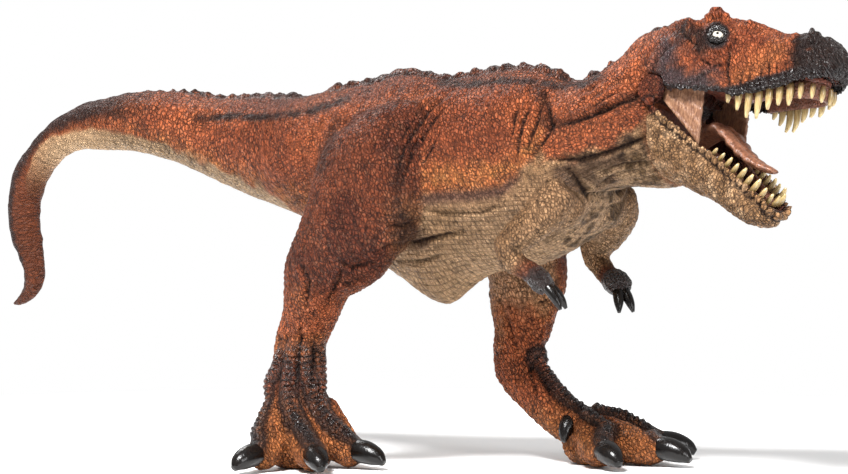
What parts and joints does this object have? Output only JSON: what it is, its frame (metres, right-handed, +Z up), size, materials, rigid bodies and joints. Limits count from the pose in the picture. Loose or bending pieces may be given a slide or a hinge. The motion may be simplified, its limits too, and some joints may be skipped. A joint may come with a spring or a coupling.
{
  "type": "toy dinosaur figure",
  "caption": "Moulded toy tyrannosaur in mid stride, with a row of bumps down its back, a raised curling tail, and a lower jaw that hinges on a pin behind rows of teeth.",
  "frame": {"origin": "on the ground, under the middle of the figure's box", "axes": "+X the way the figure heads, +Y to its left, +Z up"},
  "size_m": [0.3064, 0.0956, 0.1347],
  "materials": {
    "hide": "scaly moulded skin, red-brown over a beige belly, dark wash in the creases, gloss black claws and lips",
    "mouth_lining": "satin pinkish brown flesh",
    "teeth": "ivory with a brown wash at the roots",
    "eyes": "gloss off-white with a small black pupil",
    "pin_steel": "plain drawn wire"
  },
  "bodies": {
    "figure": {"torso": "hide", "tail": "hide", "right_leg": "hide", "left_leg": "hide", "right_arm": "hide", "left_arm": "hide", "head": "hide", "palate": "mouth_lining", "throat": "mouth_lining", "upper_teeth": "teeth", "right_cheek_web": "mouth_lining", "left_cheek_web": "mouth_lining", "right_eye": "eyes", "left_eye": "eyes", "jaw_pin": "pin_steel"},
    "jaw": {"lower_jaw": "hide", "lower_teeth": "teeth", "tongue": "mouth_lining"}
  },
  "joints": [
    {"name": "jaw_hinge", "type": "hinge", "parent": "figure", "child": "jaw", "pos_m": [0.09624, 0.00622, 0.1082], "axis": [-0.1452, -0.955, 0.2586], "range_deg": [0, 18]}
  ]
}
